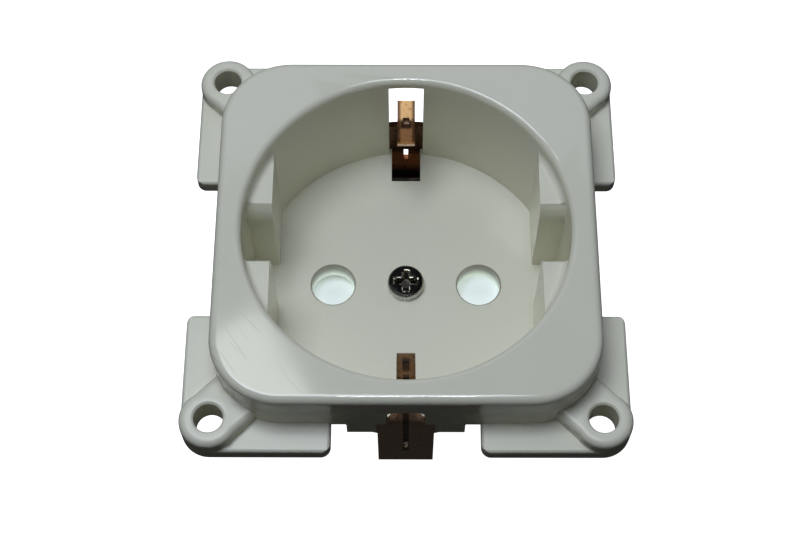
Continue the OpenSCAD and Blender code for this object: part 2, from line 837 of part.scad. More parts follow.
module pole_contact() {
    for (side = [0, 1])
        translate([pin_x, 0, 0])
            mirror([side, 0, 0]) {
                along_y(leaf_w)
                    bent_strip(leaf_path, [4, 1.4], brass_t);
                translate([leaf_root_x - brass_t / 2, -leaf_w / 2, leaf_low])
                    cube([brass_t, leaf_w / 2 + back_y + brass_t, leaf_bend - leaf_low - 0.6]);
            }
    translate([pin_x - leaf_root_x - brass_t / 2, back_y, leaf_low])
        cube([2 * leaf_root_x + brass_t, brass_t, plate_top - leaf_low]);
    difference() {
        union() {
            slab(plate_low, plate_top) {
                rounded_rect(pocket_x0 + 0.3, back_y, pocket_x1 - 0.3, pocket_y1 - 0.3, 0.6);
                translate([terminal_x, terminal_y])
                    square(clamp_w, center = true);
            }
            translate([terminal_x, terminal_y, 0])
                rod(collar_bush_d / 2, plate_low, plate_top + collar_bush_h);
        }
        translate([terminal_x, terminal_y, 0])
            rod(terminal_bore_d / 2, plate_low - 1, plate_top + collar_bush_h + 1);
        translate([rivet_x, rivet_y, 0])
            rod(rivet_hole_d / 2, plate_low - 1, plate_top + 1);
    }
}

module contact(side) {
    color([0.82, 0.68, 0.34])
        mirror([side < 0 ? 1 : 0, 0, 0])
            pole_contact();
}

// Steel clip: two arms that lie on the leaves, joined on the side away from the terminal
module pole_clip() {
    clip_low = plate_top + 0.7;
    clip_high = leaf_crest_z - 0.2;
    lean = (leaf_root_x - leaf_crest_x) / (leaf_crest_z - leaf_bend);
    skin = brass_t / 2 + clip_t / 2 + seat_clear;
    arm_low_x = leaf_root_x - lean * (clip_low - leaf_bend) + skin;
    arm_high_x = leaf_root_x - lean * (clip_high - leaf_bend) + skin;
    front_y = -leaf_w / 2 - seat_clear - clip_t / 2;
    translate([pin_x, 0, 0]) {
        for (side = [0, 1])
            mirror([side, 0, 0])
                translate([0, (front_y + leaf_w / 2) / 2 - 0.4, 0])
                    along_y(leaf_w / 2 - front_y - 0.8 + clip_t)
                        polygon([
                            [arm_low_x - clip_t / 2, clip_low],
                            [arm_low_x + clip_t / 2, clip_low],
                            [arm_high_x + clip_t / 2, clip_high],
                            [arm_high_x - clip_t / 2, clip_high]]);
        translate([0, front_y, 0])
            along_y(clip_t)
                polygon([
                    [-arm_low_x, clip_low],
                    [arm_low_x, clip_low],
                    [arm_high_x, clip_high],
                    [-arm_high_x, clip_high]]);
    }
}

module contact_clip(side) {
    color([0.66, 0.67, 0.69])
        mirror([side < 0 ? 1 : 0, 0, 0])
            pole_clip();
}

// Terminals, each drawn below the brass face at z = 0
module clamp_plate_shape() {
    top = -seat_clear;
    chamfer = 1.2;
    cut = clamp_w * 1.42 - 2 * chamfer;
    difference() {
        intersection() {
            translate([0, 0, top - clamp_t / 2])
                cube([clamp_w, clamp_w, clamp_t], center = true);
            rotate(45)
                cube([cut, cut, 10], center = true);
        }
        rod(terminal_d / 2 + 0.12, -big, big);
        for (x = [-1, 1] * clamp_w * 0.36)
            translate([x, 0, top])
                rotate([0, 45, 0])
                    cube([0.4, big, 0.4], center = true);
    }
}

module earth_clamp_shape() {
    lip = 0.6;
    clamp_plate_shape();
    for (side = [-1, 1])
        translate([side * (strap_w / 2 + strap_clear + lip / 2), 0, -seat_clear - clamp_t / 2 + 1.2])
            cube([lip, 4, clamp_t + 2.4], center = true);
    for (side = [-1, 1])
        translate([side * (strap_w / 2 + strap_clear / 2), 0, -seat_clear - clamp_t / 2])
            cube([strap_w * 0.1 + 2 * lip, 4, clamp_t], center = true);
}

// Screw with its head below the clamp plate and its shank through the brass
module terminal_screw_shape() {
    seat = -2 * seat_clear - clamp_t;
    shank_l = clamp_t + brass_t + collar_bush_h + 1.6;
    roll = 0.35;
    low = seat - terminal_head_h;
    head = [for (a = [-90:15:0])
        [terminal_head_d / 2 - roll + roll * cos(a), low + roll + roll * sin(a)]];
    difference() {
        rotate_extrude()
            polygon(concat(
                [[0, low]], head,
                [[terminal_head_d / 2, seat], [terminal_d / 2, seat],
                    [terminal_d / 2, seat + shank_l - 0.4], [terminal_d / 2 - 0.4, seat + shank_l],
                    [0, seat + shank_l]]));
        translate([0, 0, low])
            mirror([0, 0, 1])
                cross_recess(3.6, 0.75, 1.2);
        translate([0, 0, low])
            cube([terminal_head_d + 1, 0.9, 1.3], center = true);
    }
}

module at_terminal(side) {
    translate([side * terminal_x, side == 0 ? earth_y : terminal_y, side == 0 ? strap_low : plate_low])
        children();
}

module clamp_plate(side) {
    color([0.72, 0.73, 0.72])
        at_terminal(side)
            if (side == 0)
                earth_clamp_shape();
            else
                clamp_plate_shape();
}

module terminal_screw(side) {
    color([0.66, 0.67, 0.69])
        at_terminal(side)
            terminal_screw_shape();
}

front_housing();
centre_screw();
earth_strap();
contact_carrier();
centre_insert();
shutter();
shutter_spring();
contact(-1);  // live_contact
contact(1);  // neutral_contact
contact_clip(-1);  // live_contact_clip
contact_clip(1);  // neutral_contact_clip
contact_rivet(-1);  // live_contact_rivet
contact_rivet(1);  // neutral_contact_rivet
strap_rivets();
clamp_plate(-1);  // live_clamp_plate
clamp_plate(1);  // neutral_clamp_plate
clamp_plate(0);  // earth_clamp_plate
terminal_screw(-1);  // live_terminal_screw
terminal_screw(1);  // neutral_terminal_screw
terminal_screw(0);  // earth_terminal_screw
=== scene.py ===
"""Looks, light and camera for the caravan wall socket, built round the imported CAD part."""

import json
import math

import bmesh
import bpy
from mathutils import Matrix, Quaternion, Vector


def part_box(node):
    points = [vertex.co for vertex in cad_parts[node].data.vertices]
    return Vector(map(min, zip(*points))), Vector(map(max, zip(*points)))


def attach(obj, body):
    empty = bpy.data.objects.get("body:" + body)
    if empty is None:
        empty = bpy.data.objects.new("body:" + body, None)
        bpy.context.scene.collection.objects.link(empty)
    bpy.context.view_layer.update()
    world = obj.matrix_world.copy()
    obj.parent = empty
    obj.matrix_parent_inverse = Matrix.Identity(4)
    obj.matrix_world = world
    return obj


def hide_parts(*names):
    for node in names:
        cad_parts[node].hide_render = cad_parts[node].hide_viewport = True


MM = 0.001
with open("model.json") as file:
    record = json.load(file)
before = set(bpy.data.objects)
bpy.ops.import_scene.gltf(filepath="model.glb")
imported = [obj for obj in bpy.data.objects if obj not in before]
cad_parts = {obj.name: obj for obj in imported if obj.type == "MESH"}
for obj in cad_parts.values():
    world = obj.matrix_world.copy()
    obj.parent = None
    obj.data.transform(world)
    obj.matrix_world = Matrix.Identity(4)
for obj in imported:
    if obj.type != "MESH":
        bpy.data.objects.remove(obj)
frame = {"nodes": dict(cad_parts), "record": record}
NODES = frame["nodes"]
CAD_LOW = [min(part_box(n)[0][i] for n in NODES) for i in range(3)]

BODY_OF = {
    n: body
    for body, members in frame["record"]["behaviour"]["bodies"].items()
    for n in members
}
SLOT_OF = {s["node"]: s["material_slot"] for s in frame["record"]["subparts"]}


# Shader helpers. A band is a pair of places in mm: where a mask starts and where it is full.


def value_map(tree, source, low, high, to_low, to_high):
    node = tree.nodes.new("ShaderNodeMapRange")
    for socket, value in zip(list(node.inputs)[1:5], (low, high, to_low, to_high)):
        socket.default_value = value
    tree.links.new(source, node.inputs[0])
    return node.outputs[0]


def blend(tree, mask, first, second):
    """Colour between two colours, each an RGB tuple or a socket."""
    node = tree.nodes.new("ShaderNodeMix")
    node.data_type = "RGBA"
    sockets = [s for s in node.inputs if s.type == "RGBA"]
    for socket, colour in zip(sockets, (first, second)):
        if isinstance(colour, tuple):
            socket.default_value = (*colour, 1.0)
        else:
            tree.links.new(colour, socket)
    tree.links.new(mask, node.inputs[0])
    return next(s for s in node.outputs if s.type == "RGBA")


def maths(tree, operation, first, second=0.0):
    node = tree.nodes.new("ShaderNodeMath")
    node.operation = operation
    for socket, value in zip(node.inputs, (first, second)):
        if isinstance(value, (int, float)):
            socket.default_value = value
        else:
            tree.links.new(value, socket)
    return node.outputs[0]


def both(tree, first, *others):
    """Product of masks or numbers."""
    for other in others:
        first = maths(tree, "MULTIPLY", first, other)
    return first


def total(tree, first, *others):
    for other in others:
        first = maths(tree, "ADD", first, other)
    return first


def level(tree, source, low_mm, high_mm):
    """0 to 1 as a coordinate goes from one place to the other."""
    return value_map(tree, source, low_mm * MM, high_mm * MM, 0.0, 1.0)


def between(tree, source, low_mm, high_mm, soft_mm):
    rise = level(tree, source, low_mm - soft_mm, low_mm)
    return both(tree, rise, level(tree, source, high_mm + soft_mm, high_mm))


def coordinates(tree, place):
    axes = tree.nodes.new("ShaderNodeSeparateXYZ")
    tree.links.new(place, axes.inputs[0])
    return tuple(axes.outputs[k] for k in "XYZ")


def distance(tree, first, second):
    squares = total(tree, both(tree, first, first), both(tree, second, second))
    return maths(tree, "SQRT", squares)


def noise(tree, vector, scale, detail=3.0, roughness=0.5):
    node = tree.nodes.new("ShaderNodeTexNoise")
    node.inputs["Scale"].default_value = scale
    node.inputs["Detail"].default_value = detail
    node.inputs["Roughness"].default_value = roughness
    tree.links.new(vector, node.inputs["Vector"])
    return node.outputs[0]


# Masks of a noise: MID_NOISE spans most of its values, each EDGE is where a patch starts and is full.
MID_NOISE = (0.3, 0.7)
MOTTLE_SCALE = 95.0
GRAIN_SCALE = 2400.0
SPECK_SCALE = 330.0
SPECK_EDGE = (0.035, 0.07)
DUSTY_SCALE, DUSTY_EDGE = 260.0, (0.56, 0.62)
SCRATCHED_SCALE, SCRATCHED_EDGE = 70.0, (0.42, 0.55)
SCRATCH_ANGLES = (55, 47)
SCRATCH_STRETCH = (150.0, 5200.0, 150.0)
SCRATCH_EDGE = (0.76, 0.80)


def scratch_lines(tree, start, angle):
    """Thin lines that run at one angle in degrees."""
    turn = tree.nodes.new("ShaderNodeMapping")
    turn.inputs["Rotation"].default_value = (0.0, 0.0, math.radians(angle))
    tree.links.new(start, turn.inputs["Vector"])
    stretch = tree.nodes.new("ShaderNodeMapping")
    stretch.inputs["Location"].default_value = (angle, 0.0, 0.0)
    stretch.inputs["Scale"].default_value = SCRATCH_STRETCH
    tree.links.new(turn.outputs[0], stretch.inputs["Vector"])
    return value_map(tree, noise(tree, stretch.outputs[0], 1.0, 0.0), *SCRATCH_EDGE, 0.0, 1.0)


def surface_marks():
    """Group that makes masks for mottling, dust, scratches and fine grain from object coordinates."""
    tree = bpy.data.node_groups.new("surface_marks", "ShaderNodeTree")
    tree.interface.new_socket(name="Coordinates", in_out="INPUT", socket_type="NodeSocketVector")
    for name in ("Mottle", "Dust", "Scratches", "Grain"):
        tree.interface.new_socket(name=name, in_out="OUTPUT", socket_type="NodeSocketFloat")
    start = tree.nodes.new("NodeGroupInput").outputs[0]
    end = tree.nodes.new("NodeGroupOutput")
    dots = tree.nodes.new("ShaderNodeTexVoronoi")
    dots.inputs["Scale"].default_value = SPECK_SCALE
    tree.links.new(start, dots.inputs["Vector"])
    speck = value_map(tree, dots.outputs["Distance"], *SPECK_EDGE, 1.0, 0.0)
    dusty = value_map(tree, noise(tree, start, DUSTY_SCALE, 2.0), *DUSTY_EDGE, 0.0, 1.0)
    first, second = (scratch_lines(tree, start, angle) for angle in SCRATCH_ANGLES)
    scratched = value_map(tree, noise(tree, start, SCRATCHED_SCALE, 1.0), *SCRATCHED_EDGE, 0.15, 1.0)
    masks = {
        "Mottle": noise(tree, start, MOTTLE_SCALE, 4.0),
        "Dust": both(tree, speck, dusty),
        "Scratches": both(tree, maths(tree, "MAXIMUM", first, second), scratched),
        "Grain": noise(tree, start, GRAIN_SCALE, 3.0, 0.6),
    }
    for name, mask in masks.items():
        tree.links.new(mask, end.inputs[name])
    return tree


MARKS = surface_marks()


def new_material(name):
    """Empty material with its shader, the object coordinates and the outputs of the marks group."""
    material = bpy.data.materials.new(name)
    material.use_nodes = True
    tree = material.node_tree
    tree.nodes.clear()
    output = tree.nodes.new("ShaderNodeOutputMaterial")
    shader = tree.nodes.new("ShaderNodeBsdfPrincipled")
    tree.links.new(shader.outputs[0], output.inputs[0])
    place = tree.nodes.new("ShaderNodeTexCoord").outputs["Object"]
    marks = tree.nodes.new("ShaderNodeGroup")
    marks.node_tree = MARKS
    tree.links.new(place, marks.inputs[0])
    return material, tree, shader, place, marks.outputs


def relief(tree, shader, height, depth_mm, strength=1.0):
    node = tree.nodes.new("ShaderNodeBump")
    node.inputs["Strength"].default_value = strength
    node.inputs["Distance"].default_value = depth_mm * MM
    tree.links.new(height, node.inputs["Height"])
    tree.links.new(node.outputs[0], shader.inputs["Normal"])


# Materials

PLASTIC_IOR = 1.5


def plastic(name, base, shade, roughness, grain_mm, dust, scratches, glow=None):
    """Moulded plastic with mottling, grain, specks and scratches. glow is a colour and a strength of
    emission: painted light that makes the part shine though it is no lamp.
    """
    material, tree, shader, place, marks = new_material(name)
    colour = blend(tree, value_map(tree, marks["Mottle"], *MID_NOISE, 0.0, 1.0), base, shade)
    speck = tuple(c * k for c, k in zip(base, (0.55, 0.52, 0.48)))
    dull = tuple(c * 0.72 for c in base)
    colour = blend(tree, both(tree, marks["Dust"], dust), colour, speck)
    colour = blend(tree, both(tree, marks["Scratches"], scratches), colour, dull)
    tree.links.new(colour, shader.inputs["Base Color"])
    rough = value_map(tree, marks["Mottle"], *MID_NOISE, roughness - 0.04, roughness + 0.05)
    rough = total(tree, rough, both(tree, marks["Scratches"], 0.3 * scratches))
    tree.links.new(rough, shader.inputs["Roughness"])
    shader.inputs["IOR"].default_value = PLASTIC_IOR
    if glow:
        shader.inputs["Emission Color"].default_value = (*glow[0], 1.0)
        shader.inputs["Emission Strength"].default_value = glow[1]
    relief(tree, shader, marks["Grain"], grain_mm, 0.35)
    return material


def metal(name, bright, tarnish, roughness, spread=0.5):
    """Worn metal with mottled tarnish."""
    material, tree, shader, place, marks = new_material(name)
    amount = value_map(tree, marks["Mottle"], 0.38, 0.66, 0.0, spread)
    colour = blend(tree, amount, bright, tarnish)
    colour = blend(tree, both(tree, marks["Dust"], 0.6), colour, tarnish)
    tree.links.new(colour, shader.inputs["Base Color"])
    shader.inputs["Metallic"].default_value = 1.0
    rough = value_map(tree, marks["Grain"], *MID_NOISE, roughness - 0.05, roughness + 0.07)
    tree.links.new(total(tree, rough, both(tree, amount, 0.12)), shader.inputs["Roughness"])
    relief(tree, shader, marks["Grain"], 0.02, 0.3)
    return material


# Screws: depths are below the top of the head, the others are radii or half widths
HEAD_FACE_DEPTH = (0.25, 0.12)
HEAD_FACE_R = (2.33, 2.05)
RECESS_DEPTH = (0.12, 0.25)
RECESS_R = (1.75, 1.65)
RECESS_EDGE_DEPTH = (0.75, 0.6)
ARM_SIDE = (0.36, 0.50)
ARM_SIDE_REACH = (1.66, 1.55)
ARM_END = (1.48, 1.60)
ARM_END_SIDE = (0.5, 0.42)
EDGE_SOFT = 0.06
# The dark thread colour is painted shade in the thread's roots.
PLATING, PLATING_WORN, THREAD_GROOVE_SHADE = (0.60, 0.60, 0.58), (0.36, 0.35, 0.32), (0.10, 0.10, 0.10)
# Painted light on the head: a dark reflection on its top, shade in the recess and highlights along the
# recess's edges.
HEAD_PAINTED_DARK, RECESS_PAINTED_SHADE, RECESS_EDGE_HIGHLIGHT = (0.010, 0.010, 0.009), (0.06, 0.054, 0.044), (0.80, 0.74, 0.62)


def painted_dark_head(tree, colour, place, x, y, z, far, top):
    """Pan head top painted near black as a painted dark reflection, its cross recess darker still as painted
    shade, with painted highlights along the recess's edges, broken into specks.
    """

    def depth(band):
        return level(tree, z, top - band[0], top - band[1])

    face = both(tree, depth(HEAD_FACE_DEPTH), level(tree, far, *HEAD_FACE_R))
    recess = both(tree, depth(RECESS_DEPTH), level(tree, far, *RECESS_R))
    colour = blend(tree, face, colour, HEAD_PAINTED_DARK)
    colour = blend(tree, recess, colour, RECESS_PAINTED_SHADE)
    along, across = maths(tree, "ABSOLUTE", x), maths(tree, "ABSOLUTE", y)
    arm = maths(tree, "MINIMUM", along, across)
    reach = maths(tree, "MAXIMUM", along, across)
    sides = both(tree, between(tree, arm, *ARM_SIDE, EDGE_SOFT), level(tree, reach, *ARM_SIDE_REACH))
    ends = both(tree, between(tree, reach, *ARM_END, EDGE_SOFT), level(tree, arm, *ARM_END_SIDE))
    # Painted highlights along the recess's edges, broken into specks by a noise.
    highlight_breakup = value_map(tree, noise(tree, place, 2600.0, 3.0, 0.6), 0.46, 0.58, 0.0, 1.0)
    edge_highlight = both(tree, maths(tree, "MAXIMUM", sides, ends), highlight_breakup, depth(RECESS_EDGE_DEPTH))
    return blend(tree, edge_highlight, colour, RECESS_EDGE_HIGHLIGHT)


def screw_metal(name, axis_mm, thread_mm, pitch_mm, shank_r_mm, head_top_mm=None):
    """Plated screw with a thread drawn by colour and bump on its shank, its roots darkened as painted shade,
    and, where head_top_mm is given, a head top painted near black as a painted dark reflection, with painted
    highlights on its recess's edges.
    """
    material, tree, shader, place, marks = new_material(name)
    shift = tree.nodes.new("ShaderNodeMapping")
    shift.inputs["Location"].default_value = (-axis_mm[0] * MM, -axis_mm[1] * MM, 0.0)
    tree.links.new(place, shift.inputs["Vector"])
    x, y, z = coordinates(tree, shift.outputs[0])
    far = distance(tree, x, y)
    rise = both(tree, maths(tree, "ARCTAN2", y, x), pitch_mm * MM / (2 * math.pi))
    phase = both(tree, maths(tree, "SUBTRACT", z, rise), 2 * math.pi / (pitch_mm * MM))
    ridge = maths(tree, "SINE", phase)
    cut = both(
        tree,
        maths(tree, "GREATER_THAN", far, (shank_r_mm - 0.12) * MM),
        maths(tree, "LESS_THAN", far, (shank_r_mm + 0.1) * MM),
        maths(tree, "GREATER_THAN", z, thread_mm[0] * MM),
        maths(tree, "LESS_THAN", z, thread_mm[1] * MM),
    )
    # Painted shade in the roots of the thread.
    groove_shade = both(tree, value_map(tree, ridge, -1.0, 0.2, 1.0, 0.0), cut)
    colour = blend(tree, value_map(tree, marks["Mottle"], 0.35, 0.7, 0.0, 0.5), PLATING, PLATING_WORN)
    colour = blend(tree, groove_shade, colour, THREAD_GROOVE_SHADE)
    if head_top_mm:
        colour = painted_dark_head(tree, colour, place, x, y, z, far, head_top_mm)
    tree.links.new(colour, shader.inputs["Base Color"])
    shader.inputs["Metallic"].default_value = 1.0
    tree.links.new(value_map(tree, marks["Grain"], *MID_NOISE, 0.18, 0.32), shader.inputs["Roughness"])
    relief(tree, shader, both(tree, ridge, cut), 0.12)
    return material


# Earth strap: bands of its colours, most of them painted light and shade
STRAP_FOOT_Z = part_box("earth_strap")[0][2] / MM
UPPER_HALF_Y, LOWER_HALF_Y = (-0.5, 0.5), (0.5, -0.5)
LIT_LEAD_Z = (4.8, 5.0)
CREST_HIGHLIGHT_Z = (2.52, 2.66)
EYE_SHADE_X, EYE_SHADE_Z = (0.95, 0.6), (4.4, 4.85)
EDGE_X, EDGE_Z = (0.60, 0.90), (2.8, 3.2)
NECK_SHADE_Z = (2.4, 0.5)
ARM_REFLECTION_Z = (-9.3, -10.6)
DEEP_SHADE_Z = (-12.8, -15.2)
OUTER_ARM_LIGHT_Y, OUTER_ARM_LIGHT_Z = (-19.0, -19.5), (0.0, -4.0)
SLIT_X, SLIT_Y = (0.42, 0.34), (-18.5, -18.7)
SLIT_FOOT_Z = (STRAP_FOOT_Z + 4.5, STRAP_FOOT_Z + 4.7)
WINDOW_SHADE_X, WINDOW_SHADE_Z = (0.50, 0.38), (4.2, 5.6)
HIDDEN_SHADE_Y, HIDDEN_SHADE_Z = (-19.4, -1.0), (-10.0, -12.0)


def strap_metal():
    """Copper alloy with mottled tarnish and colour bands that are mostly painted light and shade: a gold
    lead-in painted as lit and a painted highlight on the crest of the upper tongue, painted shade in the
    eyes, on the neck, on the lower half, in a patch on the lower tongue, deep down and on the run under the
    cup floor, a painted orange reflection low on the arm and painted light on the outer arm; the tongue's
    sides are darker and a dark line runs down the outer arm.
    """
    material, tree, shader, place, marks = new_material("bronze_strip")
    x, y, z = coordinates(tree, place)
    aside = maths(tree, "ABSOLUTE", x)
    upper, lower = level(tree, y, *UPPER_HALF_Y), level(tree, y, *LOWER_HALF_Y)
    slit = both(
        tree,
        level(tree, y, *SLIT_Y),
        level(tree, z, *SLIT_FOOT_Z),
        level(tree, aside, *SLIT_X),
    )
    window_shade = both(tree, lower, between(tree, z, *WINDOW_SHADE_Z, 0.2), level(tree, aside, *WINDOW_SHADE_X))
    hidden_shade = both(tree, between(tree, y, *HIDDEN_SHADE_Y, 0.1), level(tree, z, *HIDDEN_SHADE_Z))
    layers = (
        # Painted light: the upper tongue's lead-in is painted bright gold.
        (both(tree, upper, level(tree, z, *LIT_LEAD_Z)), 1.0, (1.0, 0.60, 0.26)),
        # Painted highlight along the crest of the upper tongue.
        (both(tree, upper, between(tree, z, *CREST_HIGHLIGHT_Z, 0.12)), 1.0, (1.0, 0.90, 0.72)),
        # Painted shade in the eye of each tongue.
        (both(tree, level(tree, aside, *EYE_SHADE_X), between(tree, z, *EYE_SHADE_Z, 0.2)), 0.93, (0.05, 0.028, 0.016)),
        (both(tree, level(tree, aside, *EDGE_X), level(tree, z, *EDGE_Z)), 0.88, (0.12, 0.055, 0.025)),
        # Painted shade on the neck and the strap below it.
        (level(tree, z, *NECK_SHADE_Z), 1.0, (0.16, 0.072, 0.03)),
        # Painted reflection: an orange glow low on the arm.
        (level(tree, z, *ARM_REFLECTION_Z), 1.0, (0.85, 0.30, 0.09)),
        # Painted shade deep down on the strap.
        (level(tree, z, *DEEP_SHADE_Z), 1.0, (0.03, 0.018, 0.012)),
        # Painted shade: the lower half of the strap is darker brown.
        (lower, 0.85, (0.25, 0.13, 0.060)),
        # Painted light on the outer arm in front of the cup.
        (both(tree, level(tree, y, *OUTER_ARM_LIGHT_Y), level(tree, z, *OUTER_ARM_LIGHT_Z)), 1.0, (0.60, 0.40, 0.27)),
        (slit, 0.85, (0.05, 0.03, 0.018)),
        # Painted shade: a dark patch on the lower tongue.
        (window_shade, 0.85, (0.035, 0.022, 0.014)),
        # Painted shade: the run under the cup floor is near black.
        (hidden_shade, 1.0, (0.010, 0.006, 0.004)),
    )
    mottled = value_map(tree, marks["Mottle"], 0.35, 0.65, 0.0, 0.6)
    colour = blend(tree, mottled, (0.88, 0.44, 0.19), (0.60, 0.27, 0.10))
    for mask, strength, tint in layers:
        colour = blend(tree, both(tree, mask, strength), colour, tint)
    tree.links.new(colour, shader.inputs["Base Color"])
    shader.inputs["Metallic"].default_value = 0.5
    rough = total(tree, value_map(tree, marks["Grain"], *MID_NOISE, 0.24, 0.40), both(tree, hidden_shade, 0.55))
    tree.links.new(rough, shader.inputs["Roughness"])
    relief(tree, shader, marks["Mottle"], 0.05, 0.5)
    return material


# Housing: radii are from a pin hole's axis for the bore and the rim, and from the cup's axis for the others
PIN_X = 9.5
BORE_R = (3.0, 2.9)
BORE_GLOW_Z = (-9.9, -11.6)
BORE_SHADE_TOP_Z, BORE_SHADE_END_Z = (-8.7, -8.9), (-11.2, -9.6)
RIM_R, RIM_Z = (2.72, 2.95), (-9.1, -8.6)
CUP_R = (20.2, 19.6)
FLANGE_R, FLANGE_Z = (21.5, 22.5), (6.0, 5.0)
WORN_CORNER_XY, WORN_CORNER_Z = (-24.0, -28.0), (8.3, 8.6)
IVORY, IVORY_SHADE = (0.840, 0.830, 0.685), (0.822, 0.810, 0.660)
DUST_BROWN, SCRATCH_GREY = (0.46, 0.43, 0.32), (0.46, 0.45, 0.38)
# Pin hole colours are painted light and shade: a shaded ring at the rims, shade on the upper hole walls and
# a glow on the lower hole walls.
RIM_PAINTED_SHADE, BORE_SHADE = (0.22, 0.20, 0.13), (0.36, 0.33, 0.25)
NO_GLOW, BORE_GLOW = (0.0, 0.0, 0.0), (0.24, 0.30, 0.29)


def housing_plastic():
    """Glossy white moulding, duller on the flange, with a scratched corner and pin holes whose look is
    painted: painted shade in a ring at their rims and on the upper hole walls, and pale lower hole walls
    made by painted light that makes them glow.
    """
    material, tree, shader, place, marks = new_material("housing_plastic")
    x, y, z = coordinates(tree, place)
    off_pin = maths(tree, "SUBTRACT", maths(tree, "ABSOLUTE", x), PIN_X * MM)
    from_pin = distance(tree, off_pin, y)
    from_axis = distance(tree, x, y)
    corner = both(tree, level(tree, total(tree, x, y), *WORN_CORNER_XY), level(tree, z, *WORN_CORNER_Z))
    worn = both(tree, marks["Scratches"], total(tree, both(tree, corner, 0.32), 0.02))
    # Painted shade: a dark ring at the rims of the pin holes.
    rim = both(tree, between(tree, from_pin, *RIM_R, 0.06), between(tree, z, *RIM_Z, 0.05))
    bore = level(tree, from_pin, *BORE_R)
    # Painted shade on the upper walls of the pin holes.
    shaded = both(tree, bore, level(tree, z, *BORE_SHADE_TOP_Z), level(tree, z, *BORE_SHADE_END_Z))
    colour = blend(tree, value_map(tree, marks["Mottle"], *MID_NOISE, 0.0, 1.0), IVORY, IVORY_SHADE)
    colour = blend(tree, both(tree, marks["Dust"], 0.3), colour, DUST_BROWN)
    colour = blend(tree, worn, colour, SCRATCH_GREY)
    colour = blend(tree, both(tree, rim, 0.6), colour, RIM_PAINTED_SHADE)
    colour = blend(tree, shaded, colour, BORE_SHADE)
    tree.links.new(colour, shader.inputs["Base Color"])
    # Painted light: the lower walls of the pin holes glow though they are no lamp.
    lit = blend(tree, both(tree, bore, level(tree, z, *BORE_GLOW_Z)), NO_GLOW, BORE_GLOW)
    tree.links.new(lit, shader.inputs["Emission Color"])
    shader.inputs["Emission Strength"].default_value = 1.0
    flange = both(tree, level(tree, z, *FLANGE_Z), level(tree, from_axis, *FLANGE_R))
    cup = level(tree, from_axis, *CUP_R)
    rough = total(
        tree,
        both(tree, flange, 0.28),
        both(tree, cup, 0.11),
        value_map(tree, marks["Mottle"], *MID_NOISE, 0.055, 0.085),
        both(tree, worn, 0.3),
    )
    tree.links.new(rough, shader.inputs["Roughness"])
    shader.inputs["IOR"].default_value = PLASTIC_IOR
    relief(tree, shader, marks["Grain"], 0.001, 0.3)
    return material


BY_SLOT = {
    "housing_plastic": housing_plastic(),
    "carrier_plastic": plastic(
        "carrier_plastic", (0.72, 0.73, 0.68), (0.69, 0.70, 0.65), 0.48, 0.02, dust=0.3, scratches=0.2
    ),
    # The shutter's glow is painted light, so it shines pale in the pin holes though it is no lamp.
    "shutter_plastic": plastic(
        "shutter_plastic", (0.86, 0.90, 0.89), (0.84, 0.88, 0.87), 0.45, 0.01, dust=0.2, scratches=0.1,
        glow=((0.86, 1.0, 0.93), 0.22),
    ),
    "bronze_strip": strap_metal(),
    "brass_strip": metal("brass_strip", (0.80, 0.62, 0.30), (0.42, 0.30, 0.13), 0.30),
    "plated_steel": metal("plated_steel", (0.66, 0.66, 0.64), (0.34, 0.33, 0.30), 0.30),
    "spring_steel": metal("spring_steel", (0.55, 0.55, 0.56), (0.28, 0.27, 0.26), 0.26),
}


CENTRE_HEAD, CENTRE_PITCH, CENTRE_SHANK_R = 1.3, 0.5, 1.5
TERMINAL_HEAD, TERMINAL_TIP, TERMINAL_PITCH, TERMINAL_SHANK_R = 2.1, 0.3, 0.6, 1.75


def screw_material(node):
    """Screw metal whose axis and thread come from the node's own box."""
    low, high = (tuple(c / MM for c in corner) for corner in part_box(node))
    axis = ((low[0] + high[0]) / 2, (low[1] + high[1]) / 2)
    if node == "centre_screw":
        thread = (low[2], high[2] - CENTRE_HEAD)
        return screw_metal(node, axis, thread, CENTRE_PITCH, CENTRE_SHANK_R, high[2])
    thread = (low[2] + TERMINAL_HEAD, high[2] - TERMINAL_TIP)
    return screw_metal(node, axis, thread, TERMINAL_PITCH, TERMINAL_SHANK_R)


# Pieces

ROLL_ANGLE = math.radians(32)
FLAT_ANGLE = math.radians(0.6)
LARGEST_DRIFT = 0.3 * MM
LARGEST_VOLUME_CHANGE = 0.05


def joined_mesh(source):
    """Copy of a mesh with its flat facets joined and its faces smooth."""
    mesh = source.copy()
    cage = bmesh.new()
    cage.from_mesh(mesh)
    bmesh.ops.remove_doubles(cage, verts=cage.verts, dist=1e-6)
    bmesh.ops.dissolve_limit(cage, angle_limit=FLAT_ANGLE, verts=cage.verts, edges=cage.edges)
    for face in cage.faces:
        face.smooth = True
    bmesh.ops.triangulate(cage, faces=[f for f in cage.faces if len(f.verts) > 4], ngon_method="BEAUTY")
    cage.to_mesh(mesh)
    cage.free()
    return mesh


def open_edges_and_volume(mesh):
    body = bmesh.new()
    body.from_mesh(mesh)
    found = sum(1 for e in body.edges if len(e.link_faces) != 2), body.calc_volume()
    body.free()
    return found


